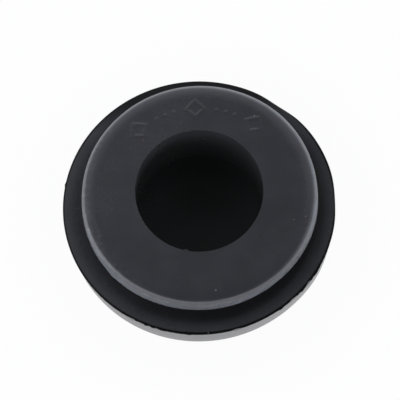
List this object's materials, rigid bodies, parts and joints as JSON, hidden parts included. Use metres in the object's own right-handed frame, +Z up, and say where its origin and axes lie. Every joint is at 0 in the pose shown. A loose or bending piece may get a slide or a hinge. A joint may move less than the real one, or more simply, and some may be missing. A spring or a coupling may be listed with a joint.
{
  "type": "rubber grommet",
  "caption": "Round blind rubber grommet that grips the edge of a panel hole in the groove between its flanges, with a closed bore that a cable can pierce.",
  "frame": {"origin": "centre of the underside, on the surface that the grommet stands on", "axes": "+Z up the axis of the bore, out of its mouth; the grommet is round about +Z, so +X and +Y are free"},
  "size_m": [0.0234, 0.0234, 0.0059],
  "materials": {
    "black_rubber": "matt moulded black rubber with a faint grey bloom"
  },
  "bodies": {
    "root": {"grommet_body": "black_rubber"}
  },
  "joints": []
}
